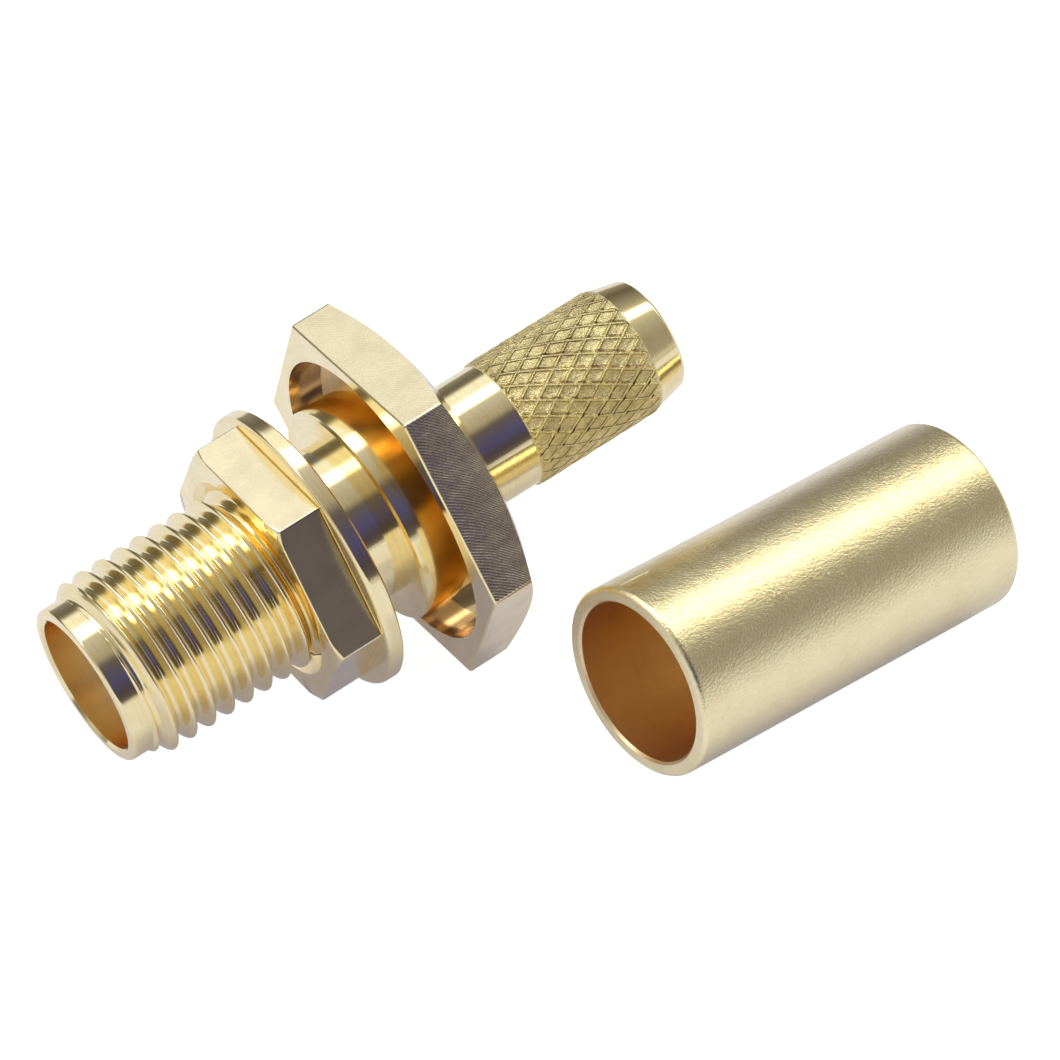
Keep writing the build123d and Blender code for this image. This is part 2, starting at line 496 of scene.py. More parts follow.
class Sheet:
    """The node tree of one material or world."""

    def __init__(self, tree: bpy.types.NodeTree) -> None:
        """Clears a node tree to write on."""
        self.tree = tree
        tree.nodes.clear()

    def node(self, kind: str, settings: Optional[dict[str, Any]] = None,
             inputs: Optional[dict[Any, Any]] = None) -> bpy.types.Node:
        """Adds a node.

        Args:
            kind: the node's type.
            settings: attributes that are set first; "stops" holds a ramp's (place, colour) pairs.
            inputs: values, sockets or Values for the input sockets, by name or number.

        Returns:
            The node.
        """
        node = self.tree.nodes.new(kind)
        for key, value in (settings or {}).items():
            if key == "stops":
                self._set_stops(node.color_ramp, value)
            else:
                setattr(node, key, value)
        for key, value in (inputs or {}).items():
            source = value.socket if isinstance(value, Value) else value
            if isinstance(source, bpy.types.NodeSocket):
                self.tree.links.new(source, node.inputs[key])
            else:
                node.inputs[key].default_value = source
        return node

    @staticmethod
    def _set_stops(ramp: bpy.types.ColorRamp, stops: Sequence[tuple[float, Vec3]]) -> None:
        """Puts stops on a ramp.

        Args:
            ramp: a new ramp, with two stops.
            stops: (place, colour) pairs in rising order.
        """
        while len(ramp.elements) < len(stops):
            ramp.elements.new(1.0)
        for element, (place, colour) in zip(ramp.elements, stops):
            element.position = place
            element.color = (*colour, 1.0)



    def mix(self, share: Number, first: Any, second: Any) -> bpy.types.NodeSocket:
        """Returns a colour between two, by a share from 0 to 1."""
        node = self.node("ShaderNodeMix", {"data_type": "RGBA"}, {0: share, 6: first, 7: second})
        return node.outputs[2]

    def noise(self, vector: Any, scale: float, detail: float = 2.0, roughness: float = 0.5) -> Value:
        """Returns Noise Texture's height, about 0.5."""
        node = self.node("ShaderNodeTexNoise", None, {
            "Vector": vector, "Scale": scale, "Detail": detail, "Roughness": roughness})
        return Value(self, node.outputs[0])

    def vector(self, x: Number, y: Number, z: Number) -> bpy.types.NodeSocket:
        """Returns a vector of three numbers."""
        return self.node("ShaderNodeCombineXYZ", None, {0: x, 1: y, 2: z}).outputs[0]


@dataclass(frozen=True)
class Place:
    """The shaded point on a piece's own axis, as a vector and as its parts, in mm."""

    sheet: Sheet
    point: bpy.types.NodeSocket
    station: Value
    side: Value
    up: Value

    @classmethod
    def on(cls, sheet: Sheet, axis: Axis) -> "Place":
        """Reads Object coordinates on an axis.

        Args:
            sheet: the material's node tree.
            axis: the piece's axis.

        Returns:
            The shaded point.
        """
        at = sheet.node("ShaderNodeTexCoord").outputs["Object"]
        location, turn = axis.mapping()
        point = sheet.node("ShaderNodeMapping", {"vector_type": "TEXTURE"},
                           {"Vector": at, "Location": location, "Rotation": turn,
                            "Scale": (MM, MM, MM)}).outputs[0]
        split = sheet.node("ShaderNodeSeparateXYZ", None, {0: point})
        return cls(sheet, point, *(Value(sheet, split.outputs[i]) for i in range(3)))

    def radius(self) -> Value:
        """Returns the distance from the axis."""
        return (self.side * self.side + self.up * self.up).math("SQRT")

    def azimuth(self) -> Value:
        """Returns the angle round the axis, in radians."""
        return self.up.math("ARCTAN2", self.side)

    def noise(self, scale: float, detail: float, roughness: float) -> Value:
        """Returns Noise Texture's height, about 0.5."""
        return self.sheet.noise(self.point, scale, detail, roughness)

    def rings(self, scale: float, turn: Number) -> Value:
        """Returns noise drawn out round the axis, which changes only slowly with turn."""
        return self.sheet.noise(self.sheet.vector(self.station, self.radius(), turn), scale, 3.0, 0.6)


@dataclass(frozen=True)
class Look:
    """What a finish gives its shader; marks is the height of its bump, in micrometres."""

    colour: bpy.types.NodeSocket
    roughness: Value
    metallic: float
    height: Value
    marks: float


@dataclass(frozen=True)
class Finish:
    """A finish worked out on a piece's own axis."""

    name: str

    def material(self, axis: Axis) -> bpy.types.Material:
        """Builds the finish for a piece.

        Args:
            axis: the piece's axis.

        Returns:
            The material.
        """
        material = bpy.data.materials.new(self.name)
        material.use_nodes = True
        sheet = Sheet(material.node_tree)
        look = self._look(Place.on(sheet, axis))
        bump = sheet.node("ShaderNodeBump", None, {
            "Strength": 1.0, "Distance": look.marks * MICROMETRE, "Height": look.height})
        shader = sheet.node("ShaderNodeBsdfPrincipled", None, {
            "Base Color": look.colour, "Metallic": look.metallic, "Roughness": look.roughness,
            "Normal": bump.outputs[0]})
        sheet.node("ShaderNodeOutputMaterial", None, {"Surface": shader.outputs[0]})
        return material

    def _look(self, place: Place) -> Look:
        """Works out the look at a point; each finish has its own."""
        raise NotImplementedError


class Pattern(Enum):
    """How a gold surface was made, which sets its marks."""

    TURNED = "turned"
    MILLED = "milled"
    KNURLED = "knurled"
    DRAWN = "drawn"


@dataclass(frozen=True)
class Cutter:
    """Milling cutter whose arcs of radius reach show across a hexagon's flats, straying by wander.

    The flat numbered deepest and the one opposite are cut deepest, and the others by a share of at least
    least of that depth.
    """

    reach: float = 5.0
    centre: float = 8.7
    wander: float = 0.22
    deepest: float = 2.0
    least: float = 0.15


@dataclass(frozen=True)
class Scratch:
    """A leaning scratch near the front end of a drawn tube, in mm; offset is its way round the tube."""

    start: float = 0.30
    end: float = 1.55
    start_fade: float = 0.06
    end_fade: float = 0.30
    offset: float = 3.78
    lean: float = 0.06
    half_width: float = 0.045
    core: float = 0.015
    depth: float = 1.2


@dataclass(frozen=True)
class Gold(Finish):
    """Gold plate over brass, with the tool's marks under it.

    Attributes:
        roll: turn of a milled hexagon's corners, in degrees.
        deep: colour in the marks and where the plate is thin, and on the knurl the painted shade in its
            slits.
        marks: height of the tool marks, in micrometres.
        pitch: distance between them, in mm.
        cut: share of the deep colour in them.
    """

    pattern: Pattern
    roll: float = 0.0
    knurl: Knurl = Knurl()
    cutter: Cutter = Cutter()
    scratch: Scratch = Scratch()
    bright: Vec3 = (1.0, 0.865, 0.49)
    deep: Vec3 = (0.86, 0.64, 0.28)
    roughness: float = 0.13
    spread: float = 0.05
    marks: float = 0.7
    pitch: float = 0.08
    cut: float = 0.55

    @property
    def _rate(self) -> float:
        """Tool marks in a millimetre."""
        return 1.0 / self.pitch

    def _look(self, place: Place) -> Look:
        """Plate that is deeper in its marks, in clouds and in specks, and on the knurl in painted shade.

        Args:
            place: the shaded point.

        Returns:
            What the shader gets.
        """
        made = {Pattern.TURNED: self._turned, Pattern.MILLED: self._milled,
                Pattern.KNURLED: self._knurled, Pattern.DRAWN: self._drawn}[self.pattern]
        height, tint = made(place)
        cloud = place.noise(0.9, 3.0, 0.55).between(0.35, 0.75)
        speck = place.noise(9.0, 2.0, 0.6)
        # Share of the deep colour: marks, clouds and specks, and on the knurl painted shade too.
        wear_and_shade = (tint * self.cut + cloud * 0.30 + speck.between(0.55, 0.8) * 0.15).clamped()
        colour = place.sheet.mix(wear_and_shade, (*self.bright, 1.0), (*self.deep, 1.0))
        rough = (self.roughness - self.spread / 2) + (tint * 0.6 + speck * 0.4) * self.spread
        return Look(colour, rough, 1.0, height, self.marks)

    def _turned(self, place: Place) -> tuple[Value, Value]:
        """Returns the height of fine rings round the axis, and how deep the tint is in them."""
        lines = place.rings(self._rate, place.azimuth() * 0.06)
        return lines, lines.between(0.42, 0.68) * 0.4

    def _milled(self, place: Place) -> tuple[Value, Value]:
        """Arcs across each flat: ((1 + sin(2 pi d / pitch)) / 2)^2, where d grows along the flat.

        d is the way along it + sqrt(reach^2 - (s - centre)^2) + a stray that noise gives.

        Args:
            place: the shaded point.

        Returns:
            Height of the marks, and how deep the tint is in them.
        """
        cutter = self.cutter
        sector = place.azimuth() / SIXTH - self.roll / 60.0
        flat = sector.math("FLOOR")
        along = place.radius() * ((sector - flat - 0.5) * SIXTH).math("SINE")
        off = place.station - cutter.centre
        sweep = (cutter.reach**2 - off * off).math("MAXIMUM", 0.1).math("SQRT")
        stray = place.noise(1.1, 2.0, 0.5) * cutter.wander
        wave = ((along + sweep + stray) * (TURN * self._rate)).math("SINE") * 0.5 + 0.5
        patch = place.noise(2.4, 2.0, 0.6).between(0.30, 0.62) * 0.15 + 0.85
        grain = place.noise(2.6 * self._rate, 3.0, 0.65)
        pair = ((flat - cutter.deepest) * SIXTH).math("COSINE")
        lines = wave * wave * patch * (pair * pair * (1.0 - cutter.least) + cutter.least)
        return lines * 0.7 + grain * 0.5, (1.0 - lines) * 0.25 + grain.between(0.4, 0.65) * 0.3

    def _knurled(self, place: Place) -> tuple[Value, Value]:
        """Sharp tops on both families of ridges, painted shade beside them and grit between them.

        Bounds beside a ridge are shares of a tooth. The painted shade lies as dark dashes beside the rising
        ridges on the upper side of the stem, and as dark slits beside the falling ones lower down; both
        also dent the bump.

        Args:
            place: the shaded point.

        Returns:
            Height of the marks, and how deep the tint is in them.
        """
        knurl, s, azimuth = self.knurl, place.station, place.azimuth()
        step = TURN / knurl.teeth
        sweep = (s - knurl.cross_station) * math.radians(knurl.helix)
        base = azimuth - math.radians(knurl.cross_azimuth)
        rising, falling = (base - sweep) / step, (base + sweep) / step
        before, past = rising.math("ROUND") - rising, falling - falling.math("ROUND")
        near_rising, near_falling = before.math("ABSOLUTE"), past.math("ABSOLUTE")
        ridge = (near_rising.between(0.13, 0.04) * 0.8).math("MAXIMUM", near_falling.between(0.14, 0.04))
        # Painted shade: the stem's lower side gets dark slits, its upper side dark dashes.
        under = azimuth.math("SINE").between(0.50, 0.15)
        shade_dashes = place.noise(4.2, 2.0, 0.5).between(0.40, 0.54)
        shaded_slit = past.between(0.07, 0.12) * past.between(0.26, 0.18) * shade_dashes * under
        edge = before.between(0.07, 0.12) * before.between(0.27, 0.18) * shade_dashes * (1.0 - under)
        grit = place.noise(self._rate, 4.0, 0.7)
        coarse = place.noise(self._rate * 0.35, 2.0, 0.6)
        inside = s.between(knurl.start + 0.02, knurl.start + knurl.fade)
        inside *= s.between(knurl.end - 0.02, knurl.end - knurl.fade)
        height = (ridge * 2.7 - shaded_slit - edge * 0.8) * inside + grit * 1.2 + coarse * 1.25
        pad = (1.0 - ridge) * (coarse.between(0.50, 0.68) * 0.22)
        # The slits' and edges' tint is painted shade; the pads' tint is grit.
        return height, ((shaded_slit * 2.2 + edge * 0.55 + pad) * inside).clamped()

    def _drawn(self, place: Place) -> tuple[Value, Value]:
        """Orange-peel grain and pits of a drawn and tumbled tube, and its scratch.

        Args:
            place: the shaded point.

        Returns:
            Height of the grain, and how deep the tint is in it.
        """
        scratch, s = self.scratch, place.station
        grain = place.noise(self._rate, 4.0, 0.7)
        pits = place.noise(self._rate * 0.45, 2.0, 0.6)
        off = place.azimuth() * place.radius() - scratch.offset - s * scratch.lean
        line = off.math("ABSOLUTE").between(scratch.half_width, scratch.core)
        line *= s.between(scratch.start, scratch.start + scratch.start_fade)
        line *= s.between(scratch.end, scratch.end - scratch.end_fade)
        tint = grain.between(0.42, 0.68) * 0.5 + pits.between(0.45, 0.7) * 0.3
        return grain + pits * 0.15 + line * scratch.depth, tint


@dataclass(frozen=True)
class Plastic(Finish):
    """Milky insulator plastic, slightly waxy, with faint turning lines."""

    name: str = "insulator_plastic"
    colour: Vec3 = (0.83, 0.81, 0.76)
    cloudy: float = 0.88
    roughness: float = 0.42
    spread: float = 0.12
    marks: float = 2.0

    def _look(self, place: Place) -> Look:
        """Plastic that is a little darker in clouds.

        Args:
            place: the shaded point.

        Returns:
            What the shader gets.
        """
        lines = place.rings(9.0, 0.0)
        cloud = place.noise(1.4, 3.0, 0.5).between(0.35, 0.7)
        dull = tuple(self.cloudy * part for part in self.colour)
        colour = place.sheet.mix(cloud * 0.5, (*self.colour, 1.0), (*dull, 1.0))
        rough = (self.roughness - self.spread / 2) + lines * self.spread
        return Look(colour, rough, 0.0, lines, self.marks)


class Coat(IntEnum):
    """Numbers of the finishes on a turned piece's mesh."""

    TURNED = 0
    FACED = 1
    MILLED = 2
    KNURLED = 3
    BORED = 4
    GROOVED = 5


def gold_set(prefix: str, axis: Axis, roll: float = 0.0, milling: float = 5.0) -> list[bpy.types.Material]:
    """Materials of a gold-plated piece, in the order of Coat's numbers.

    Args:
        prefix: the piece's name.
        axis: its axis.
        roll: turn of its hexagon's corners, in degrees.
        milling: height of the cutter's marks on its flats, in micrometres.

    Returns:
        The materials.
    """
    kinds = (
        Gold(f"{prefix}_turned", Pattern.TURNED),
        Gold(f"{prefix}_faced", Pattern.TURNED, roughness=0.12, marks=0.4, pitch=0.12),
        Gold(f"{prefix}_milled", Pattern.MILLED, roll=roll, bright=(0.96, 0.84, 0.52),
             deep=(0.66, 0.52, 0.32), roughness=0.19, marks=milling, pitch=0.112),
        # The knurl's dark deep colour is mostly painted shade in its slits and dashes, and also darkens
        # grit between the ridges.
        Gold(f"{prefix}_knurled", Pattern.KNURLED, bright=(1.0, 0.87, 0.44), deep=(0.20, 0.09, 0.02),
             roughness=0.25, marks=34.0, pitch=0.05, cut=1.0),
        # The bored gold is darker and more orange than the outer plate: painted shade and painted
        # gold-on-gold reflection in the bores.
        Gold(f"{prefix}_bored", Pattern.TURNED, bright=(0.94, 0.75, 0.42), deep=(0.86, 0.58, 0.26),
             roughness=0.22, marks=0.8, pitch=0.14),
        # The grooved gold is darker and more orange too: painted shade and painted gold-on-gold reflection
        # in the groove.
        Gold(f"{prefix}_grooved", Pattern.TURNED, bright=(0.83, 0.68, 0.44), deep=(0.62, 0.40, 0.21),
             roughness=0.11, marks=0.9, pitch=0.10),
    )
    return [kind.material(axis) for kind in kinds]


@dataclass
class Body:
    """One-piece body: mating lip, threaded barrel, pilot boss, grooved hex flange, neck and crimp stem.

    A guard is the distance of an extra ring from an edge, and a join is where two sets of columns meet.
    """

    axis: Axis
    thread: Thread
    lip_radius: float = 2.71
    lip_length: float = 0.72
    lip_rounding: float = 0.14
    thread_end: float = 8.9
    relief_radius: float = 2.68
    pilot_front: float = 10.28
    pilot_radius: float = 3.75
    pilot_break: float = 0.08
    flange_front: float = 11.28
    flange_back: float = 13.28
    flange: Hexagon = field(default_factory=lambda: Hexagon(11.0, 0.12))
    edge_break: float = 0.05
    back_land_radius: float = 5.05
    back_slope: float = math.tan(math.radians(25))
    groove_radius: float = 5.03
    groove_foot_radius: float = 4.88
    groove_floor: float = 12.41
    neck_radius: float = 2.16
    neck_fillet: float = 0.10
    knurl: Knurl = Knurl()
    collar_radius: float = 2.18
    collar_end_radius: float = 1.96
    rear: float = 21.80
    collar_break: float = 0.1
    socket_radius: float = 2.3
    socket_depth: float = 1.9
    socket_lead_in: float = 0.09
    insulator_bore_radius: float = 2.05
    insulator_seat: float = 12.6
    chamber_radius: float = 1.75
    chamber_end: float = 15.4
    cable_bore_radius: float = 1.525
    cable_lead_in: float = 0.15
    pilot_join: float = 0.3
    back_join: tuple[float, float] = (2.7, 2.5)
    front_guard: float = 0.04
    flat_guard: float = 0.02
    face_guard: float = 0.03
    bore_columns: int = 144
    knurl_columns: int = 288
    knurl_rows: int = 96

    def __post_init__(self) -> None:
        """Starts the skin, and spreads the columns of the bores and barrel, the flange and the stem."""
        self.shell = Shell(self.axis)
        self.bore = even_azimuths(self.bore_columns)
        self.hexed = self.flange.azimuths()
        self.fine = even_azimuths(self.knurl_columns)

    def build(self) -> bpy.types.Object:
        """Builds the body's skin, bores included, and puts it in place of the plain one.

        Returns:
            The skin.
        """
        for part in (self._bores, self._lip_and_thread, self._relief_and_boss, self._flange, self._neck,
                     self._stem):
            part()
        piece = self.shell.build("body_skin", gold_set("body", self.axis))
        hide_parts("body")
        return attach(piece, "connector")

    def _bores(self) -> None:
        """Cable bore, cup chamber, insulator bore, mating socket and its lead-in."""
        self.shell.turned(outline(
            (self.rear, self.cable_bore_radius + self.cable_lead_in),
            (self.rear - self.cable_lead_in, self.cable_bore_radius),
            (self.chamber_end, self.cable_bore_radius), (self.chamber_end, self.chamber_radius),
            (self.insulator_seat, self.chamber_radius), (self.insulator_seat, self.insulator_bore_radius),
            (self.socket_depth, self.insulator_bore_radius), (self.socket_depth, self.socket_radius),
            (self.socket_lead_in, self.socket_radius)), self.bore, Coat.BORED)
        self.shell.turned(outline(
            (self.socket_lead_in, self.socket_radius), (0.0, self.socket_radius + self.socket_lead_in),
            (0.0, self.lip_radius - self.lip_rounding)), self.bore, Coat.FACED)

    def _lip_and_thread(self) -> None:
        """Rounded lip, then the thread between a 45-degree lead-in and run-out.

        Between its ends the radius is the least of the thread, lip + (s - lip end) and relief + (end - s).
        """
        bend = self.lip_rounding
        self.shell.turned(outline(
            arc(bend, self.lip_radius - bend, bend, 180, 90), (self.lip_length, self.lip_radius)),
            self.bore, Coat.TURNED)
        station, radius = self.thread.lattice(self.lip_length, self.thread_end, self.bore)
        lead_in = self.lip_radius + (station - self.lip_length)
        run_out = self.relief_radius + (self.thread_end - station)
        radius = np.minimum(radius, np.minimum(lead_in, run_out))
        self.shell.band(station, radius, self.bore, Coat.TURNED, lead=self.thread.samples)

    def _relief_and_boss(self) -> None:
        """Undercut behind the thread, front face of the boss, the boss and the groove behind it."""
        front, outer, b = self.pilot_front, self.pilot_radius, self.pilot_break
        join = self.relief_radius + self.pilot_join
        self.shell.turned(outline((self.thread_end, self.relief_radius), (front, self.relief_radius)),
                          self.bore, Coat.TURNED)
        self.shell.join(front, (self.relief_radius, join), (self.bore, self.hexed), Coat.FACED)
        self.shell.turned(outline((front, join), (front, outer - b)), self.hexed, Coat.FACED)
        self.shell.turned(outline((front, outer - b), (front + b, outer), (self.groove_floor, outer)),
                          self.hexed, Coat.TURNED)
        self.shell.turned(outline((self.groove_floor, outer), (self.groove_floor, self.groove_foot_radius),
                                  (self.flange_front, self.groove_radius)), self.hexed, Coat.GROOVED)

    def _flange(self) -> None:
        """Front face, six flats with broken front edges, and the turned chamfer behind.

        The chamfer meets a flat where station = back - (R - land) * tan(25 deg).
        """
        reach = self.flange.radius(self.hexed)
        front, back, b, guard = self.flange_front, self.flange_back, self.edge_break, self.flat_guard
        edge = back - (reach - self.back_land_radius) * self.back_slope
        self.shell.rings(self.hexed, Coat.FACED, (
            (front, self.groove_radius), (front, self.groove_radius + self.front_guard),
            (front, reach - b)))
        self.shell.rings(self.hexed, Coat.TURNED, ((front, reach - b), (front + b, reach)))
        self.shell.rings(self.hexed, Coat.MILLED, (
            (front + b, reach), (front + b + guard, reach), (edge - guard, reach), (edge, reach)))
        self.shell.rings(self.hexed, Coat.FACED, (
            (edge, reach), (back, self.back_land_radius), (back, self.back_land_radius - self.face_guard),
            (back, self.back_join[0])))

    def _neck(self) -> None:
        """Foot of the flange's back face, its small fillet and the plain neck."""
        f, back = self.neck_fillet, self.flange_back
        foot = self.neck_radius + f
        self.shell.join(back, self.back_join, (self.hexed, self.fine), Coat.FACED)
        self.shell.turned(outline(
            (back, self.back_join[1]), (back, foot + self.flat_guard),
            arc(back + f, foot, f, 180, 270), (self.knurl.start, self.neck_radius)), self.fine, Coat.TURNED)

    def _stem(self) -> None:
        """Knurled stem between plain ends, tapered collar and rear face."""
        start, end, fade = self.knurl.start, self.knurl.end, self.knurl.fade
        s = np.linspace(start, end, self.knurl_rows)[:, None]
        inside = smooth_step(0.0, fade, s - start) * smooth_step(0.0, fade, end - s)
        ends = np.where(s < (start + end) / 2, self.neck_radius, self.collar_radius)
        radius = ends + (self.knurl.radius(s, self.fine[None, :]) - ends) * inside
        self.shell.band(s, radius, self.fine, Coat.KNURLED)
        b = self.collar_break
        inner = self.collar_end_radius - b - self.face_guard
        self.shell.turned(outline(
            (end, self.collar_radius), (self.rear - b, self.collar_end_radius),
            (self.rear, self.collar_end_radius - b), (self.rear, inner)), self.fine, Coat.TURNED)
        self.shell.join(self.rear, (inner, self.cable_bore_radius + self.cable_lead_in),
                        (self.fine, self.bore), Coat.FACED)


@dataclass
class Nut:
    """Thin hexagonal panel nut, its front corners turned off, screwed on the barrel."""

    axis: Axis
    thread: Thread
    front: float = 6.5
    thickness: float = 1.6
    outline: Hexagon = field(default_factory=lambda: Hexagon(8.0, 0.06, 3.7))
    chamfer_radius: float = 4.35
    chamfer_slope: float = math.tan(math.radians(30))
    edge_break: float = 0.035
    countersink_radius: float = 3.475
    clearance: float = 0.03
    join: float = 0.1
    flat_guard: float = 0.02
    milling: float = 0.3
    columns: int = 144

    def build(self) -> bpy.types.Object:
        """Builds the nut's skin with its internal thread in step with the barrel's.

        Returns:
            The skin.
        """
        shell = Shell(self.axis)
        round_columns = even_azimuths(self.columns)
        hexed = self.outline.azimuths()
        front, back, sink_radius = self.front, self.front + self.thickness, self.countersink_radius
        station, radius = self.thread.lattice(front, back, round_columns)
        sink = np.maximum(sink_radius - (station - front), sink_radius - (back - station))
        shell.band(station, np.maximum(radius + self.clearance, sink), round_columns, Coat.TURNED,
                   lead=self.thread.samples)
        inner = sink_radius + self.join
        for face in (front, back):
            shell.join(face, (sink_radius, inner), (round_columns, hexed), Coat.FACED)
        reach = self.outline.radius(hexed)
        b, guard = self.edge_break, self.flat_guard
        land = np.minimum(reach - b, self.chamfer_radius)
        corner = front + np.maximum(reach - b - self.chamfer_radius, 0.0) * self.chamfer_slope
        side = front + b + np.maximum(reach - self.chamfer_radius, 0.0) * self.chamfer_slope
        shell.rings(hexed, Coat.FACED, ((front, inner), (front, land), (corner, reach - b)))
        shell.rings(hexed, Coat.TURNED, ((corner, reach - b), (side, reach)))
        shell.rings(hexed, Coat.MILLED, (
            (side, reach), (side + guard, reach), (back - b - guard, reach), (back - b, reach)))
        shell.rings(hexed, Coat.TURNED, ((back - b, reach), (back, reach - b)))
        shell.rings(hexed, Coat.FACED, ((back, reach - b), (back, inner)))
        piece = shell.build("panel_nut_skin", gold_set("nut", self.axis, self.outline.roll, self.milling))
        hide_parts("panel_nut")
        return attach(piece, "turning_nut")


@dataclass
class Washer:
    """Flat stamped washer, its rim rounded in front and sheared square behind."""

    axis: Axis
    front: float = 8.105
    thickness: float = 0.575
    radius: float = 4.85
    bore_radius: float = 3.225
    rim_rounding: float = 0.16
    back_break: float = 0.06
    bore_break: float = 0.03
    columns: int = 192

    def build(self) -> bpy.types.Object:
        """Builds the washer's skin.

        Returns:
            The skin.
        """
        shell = Shell(self.axis)
        columns = even_azimuths(self.columns)
        back, bend, b = self.front + self.thickness, self.rim_rounding, self.back_break
        edge = self.bore_break
        shell.turned(outline(
            (back - edge, self.bore_radius), (self.front + edge, self.bore_radius)), columns, Coat.BORED)
        shell.turned(outline(
            (self.front + edge, self.bore_radius), (self.front, self.bore_radius + edge),
            arc(self.front + bend, self.radius - bend, bend, 180, 90), (back - b, self.radius),
            (back, self.radius - b), (back, self.bore_radius + edge), (back - edge, self.bore_radius)),
            columns, Coat.FACED)
        piece = shell.build("washer_skin", gold_set("washer", self.axis))
        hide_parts("washer")
        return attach(piece, "loose_washer")


class TubeCoat(IntEnum):
    """Numbers of the finishes on the ferrule's mesh."""

    DRAWN = 0
    BORED = 1


@dataclass
class Ferrule:
    """Crimp ferrule: a drawn tube with tumbled, rounded ends."""

    axis: Axis
    length: float = 13.2
    radius: float = 3.2
    bore_radius: float = 2.7
    rounding: float = 0.16
    bore_break: float = 0.08
    columns: int = 240

    def build(self) -> bpy.types.Object:
        """Builds the ferrule's skin.

        Returns:
            The skin.
        """
        shell = Shell(self.axis)
        columns = even_azimuths(self.columns)
        bend, b = self.rounding, self.bore_break
        shell.turned(outline(
            (self.length, self.bore_radius + b), (self.length - b, self.bore_radius),
            (b, self.bore_radius), (0.0, self.bore_radius + b)), columns, TubeCoat.BORED)
        shell.turned(outline(
            (0.0, self.bore_radius + b), arc(bend, self.radius - bend, bend, 180, 90),
            arc(self.length - bend, self.radius - bend, bend, 90, 0), (self.length, self.bore_radius + b)),
            columns, TubeCoat.DRAWN)
        drawn = Gold("ferrule_drawn", Pattern.DRAWN, bright=(1.0, 0.88, 0.52), deep=(0.88, 0.71, 0.36),
                     roughness=0.15, spread=0.07, marks=18.0, pitch=0.085)
        # The bore's gold is darker and more orange than the outer tube: painted shade and painted
        # gold-on-gold reflection.
        bored = Gold("ferrule_bored", Pattern.TURNED, bright=(0.90, 0.70, 0.41), deep=(0.82, 0.58, 0.32),
                     roughness=0.34, marks=1.0, pitch=0.2)
        piece = shell.build("crimp_ferrule_skin", [drawn.material(self.axis), bored.material(self.axis)])
        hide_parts("crimp_ferrule")
        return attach(piece, "connector")


@dataclass
class Inner:
    """Insulator and centre contact, which are the CAD solids in their own finishes."""

    axis: Axis

    def build(self) -> list[bpy.types.Object]:
        """Dresses both solids.

        Returns:
            The insulator and the centre contact.
        """
        contact = Gold("contact_plate", Pattern.TURNED, roughness=0.12, marks=0.6, pitch=0.07)
        dressed = []
        for node, slot, finish in (("insulator", "insulator_plastic", Plastic()),
                                   ("centre_contact", "contact_plate", contact)):
            piece = frame["nodes"][node]
            piece.data.materials.clear()
            piece.data.materials.append(finish.material(self.axis))
            dressed.append(piece)
        return dressed


@dataclass(frozen=True)
class View:
    """The photograph's angle: a target in mm, the camera's distance from it in metres, and its lens."""

    target: Vec3 = (2.9023, 2.7769, 2.1952)
    forward: Vec3 = (0.44668, 0.64944, -0.61539)
    up: Vec3 = (0.34874, 0.50703, 0.78823)
    distance: float = 0.1925
    lens: float = 204.07
    clip_start: float = 0.01


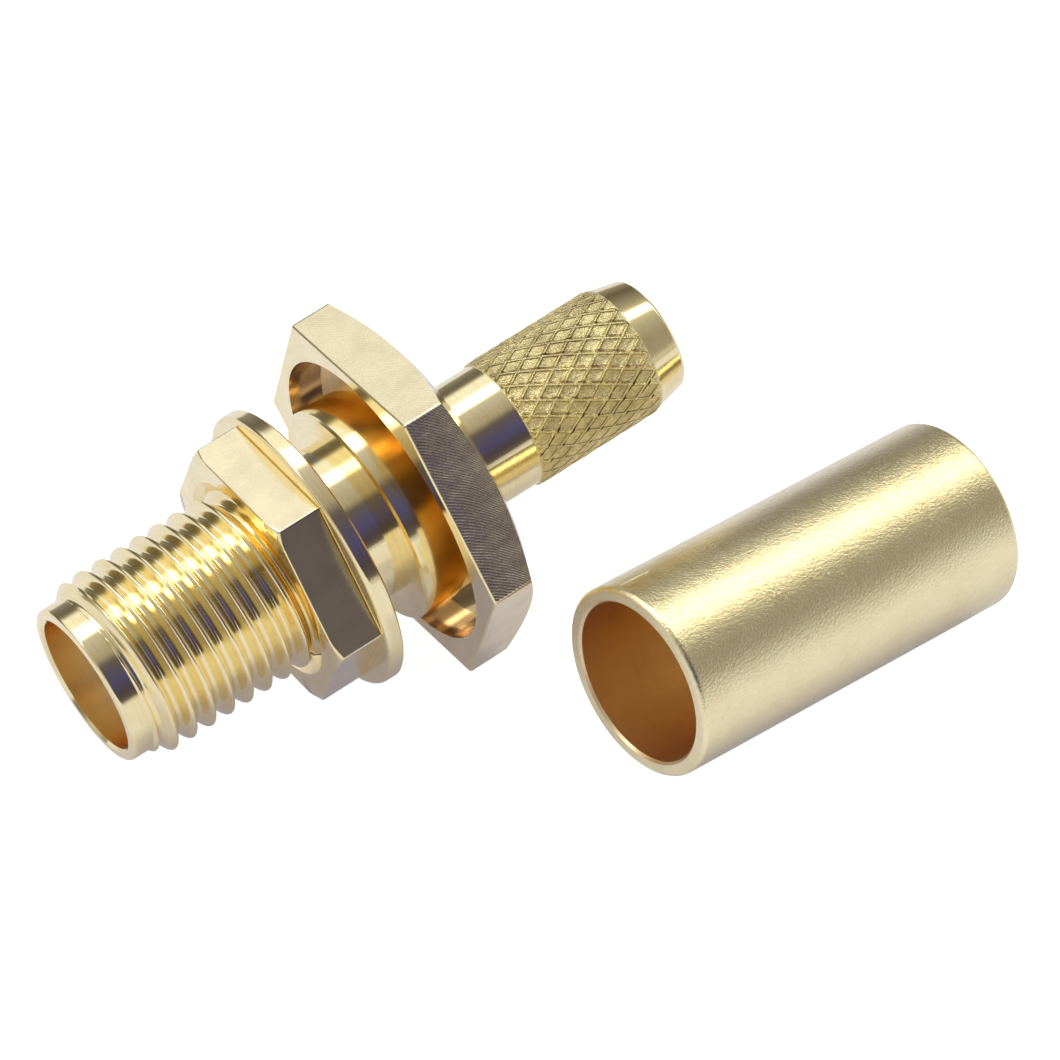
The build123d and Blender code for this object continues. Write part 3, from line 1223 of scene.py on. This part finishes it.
@dataclass(frozen=True)
class Studio:
    """Pale floor, softbox light by direction, and the camera of the photograph.

    The lights across and beside go by degrees round the connector's axis. A band is the lean along the
    axis, as a cosine, over which a light takes over from the one before it.
    """

    axis: Axis
    floor_size: float = 4.0
    floor_colour: Vec3 = (0.74, 0.74, 0.73)
    seen_floor: float = 0.92
    mirrored_floor: Vec3 = (0.20, 0.21, 0.31)
    across: tuple[tuple[float, Vec3], ...] = (
        (-180, (0.60, 0.60, 0.64)), (-8, (0.55, 0.55, 0.60)), (0, (0.26, 0.26, 0.28)),
        (20, (0.14, 0.13, 0.13)), (30, (0.20, 0.19, 0.18)), (38, (0.98, 1.02, 1.10)),
        (59, (0.98, 1.02, 1.10)), (62, (3.20, 3.35, 3.70)), (75, (3.20, 3.35, 3.70)),
        (81, (0.58, 0.58, 0.62)), (114, (0.40, 0.38, 0.36)), (124, (0.12, 0.11, 0.14)),
        (150, (0.08, 0.08, 0.29)), (168, (0.07, 0.06, 0.10)), (180, (0.11, 0.10, 0.12)),
    )
    beside: tuple[tuple[float, Vec3], ...] = (
        (-180, (0.60, 0.60, 0.60)), (-8, (0.38, 0.38, 0.40)), (5, (0.26, 0.24, 0.24)),
        (22, (0.13, 0.12, 0.11)), (36, (0.19, 0.18, 0.17)), (60, (0.34, 0.33, 0.31)),
        (74, (0.56, 0.55, 0.50)), (78, (5.20, 5.20, 4.90)), (87, (5.20, 5.20, 4.90)),
        (93, (0.58, 0.58, 0.54)), (114, (0.43, 0.43, 0.41)), (143, (0.34, 0.32, 0.30)),
        (172, (0.36, 0.34, 0.33)), (180, (0.46, 0.46, 0.46)),
    )
    front: Vec3 = (0.60, 0.58, 0.54)
    ahead: Vec3 = (0.24, 0.22, 0.20)
    beside_band: tuple[float, float] = (0.40, 0.52)
    front_band: tuple[float, float] = (-0.55, -0.85)
    ahead_band: tuple[float, float] = (-0.86, -0.95)
    mirror_bounces: int = 10
    view: View = View()

    def build(self) -> None:
        """Makes the floor, the light and the camera."""
        self._floor()
        self._light()
        self._camera()
        scene = bpy.context.scene
        scene.view_settings.view_transform = "Standard"
        scene.cycles.glossy_bounces = self.mirror_bounces

    def _floor(self) -> None:
        """Floor whose own light shows only in the camera and in mirrors, so it still takes a shadow."""
        half = self.floor_size / 2
        mesh = bpy.data.meshes.new("floor")
        mesh.from_pydata([(-half, -half, 0), (half, -half, 0), (half, half, 0), (-half, half, 0)], [],
                         [(0, 1, 2, 3)])
        floor = bpy.data.objects.new("floor", mesh)
        bpy.context.scene.collection.objects.link(floor)
        material = bpy.data.materials.new("floor_paper")
        material.use_nodes = True
        sheet = Sheet(material.node_tree)
        path = sheet.node("ShaderNodeLightPath")
        camera, glossy, through = (Value(sheet, path.outputs[n]) for n in
                                   ("Is Camera Ray", "Is Glossy Ray", "Is Transmission Ray"))
        mirrored = (glossy + through).clamped()
        glow = sheet.node("ShaderNodeEmission", None, {
            "Color": sheet.mix(mirrored, (1.0, 1.0, 1.0, 1.0), (*self.mirrored_floor, 1.0)),
            "Strength": camera * self.seen_floor + mirrored})
        paper = sheet.node("ShaderNodeBsdfDiffuse", None, {"Color": (*self.floor_colour, 1.0)})
        both = sheet.node("ShaderNodeAddShader", None, {0: paper.outputs[0], 1: glow.outputs[0]})
        sheet.node("ShaderNodeOutputMaterial", None, {"Surface": both.outputs[0]})
        mesh.materials.append(material)

    def _light(self) -> None:
        """World light by direction: two ramps round the connector's axis, and two plain lights ahead."""
        world = bpy.data.worlds.new("studio_light")
        bpy.context.scene.world = world
        world.use_nodes = True
        sheet = Sheet(world.node_tree)
        way = sheet.node("ShaderNodeTexCoord").outputs["Generated"]
        dots = (sheet.node("ShaderNodeVectorMath", {"operation": "DOT_PRODUCT"}, {0: way, 1: tuple(arm)})
                for arm in (self.axis.side, self.axis.up, self.axis.along))
        side, up, lean = (Value(sheet, dot.outputs["Value"]) for dot in dots)
        turn = up.math("ARCTAN2", side) / TURN + 0.5
        across, beside = (
            sheet.node("ShaderNodeValToRGB",
                       {"stops": [((angle + 180.0) / 360.0, colour) for angle, colour in light]},
                       {0: turn}).outputs[0]
            for light in (self.across, self.beside))
        sides = sheet.mix(lean.between(*self.beside_band), across, beside)
        front = sheet.mix(lean.between(*self.ahead_band), (*self.front, 1.0), (*self.ahead, 1.0))
        colour = sheet.mix(lean.between(*self.front_band), sides, front)
        sky = sheet.node("ShaderNodeBackground", None, {"Color": colour, "Strength": 1.0})
        sheet.node("ShaderNodeOutputWorld", None, {"Surface": sky.outputs[0]})

    def _camera(self) -> None:
        """Camera at the photograph's angle, looking along its line of sight."""
        view = self.view
        forward = Vector(view.forward).normalized()
        right = forward.cross(Vector(view.up).normalized()).normalized()
        data = bpy.data.cameras.new("camera")
        data.lens = view.lens
        data.clip_start = view.clip_start
        camera = bpy.data.objects.new("camera", data)
        turn = Matrix((right, right.cross(forward), -forward)).transposed().to_4x4()
        camera.matrix_world = Matrix.Translation(Vector(view.target) * MM - forward * view.distance) @ turn
        bpy.context.scene.collection.objects.link(camera)
        bpy.context.scene.camera = camera


def main() -> None:
    """Builds the connector, its loose pieces and the studio."""
    logging.basicConfig(level=logging.INFO, format="%(name)s: %(message)s")
    connector = Axis.of_mount("mating_socket", Body.socket_depth / 2, -1.0)
    beside = Axis.of_mount("ferrule_bore", Ferrule.length / 2, -1.0)
    thread = Thread()
    pieces = [Body(connector, thread).build(), Nut(connector, thread).build(), Washer(connector).build(),
              Ferrule(beside).build(), *Inner(connector).build()]
    Studio(connector).build()
    for piece in pieces:
        log.info("%s: %d faces", piece.name, len(piece.data.polygons))


if __name__ == "__main__":
    main()
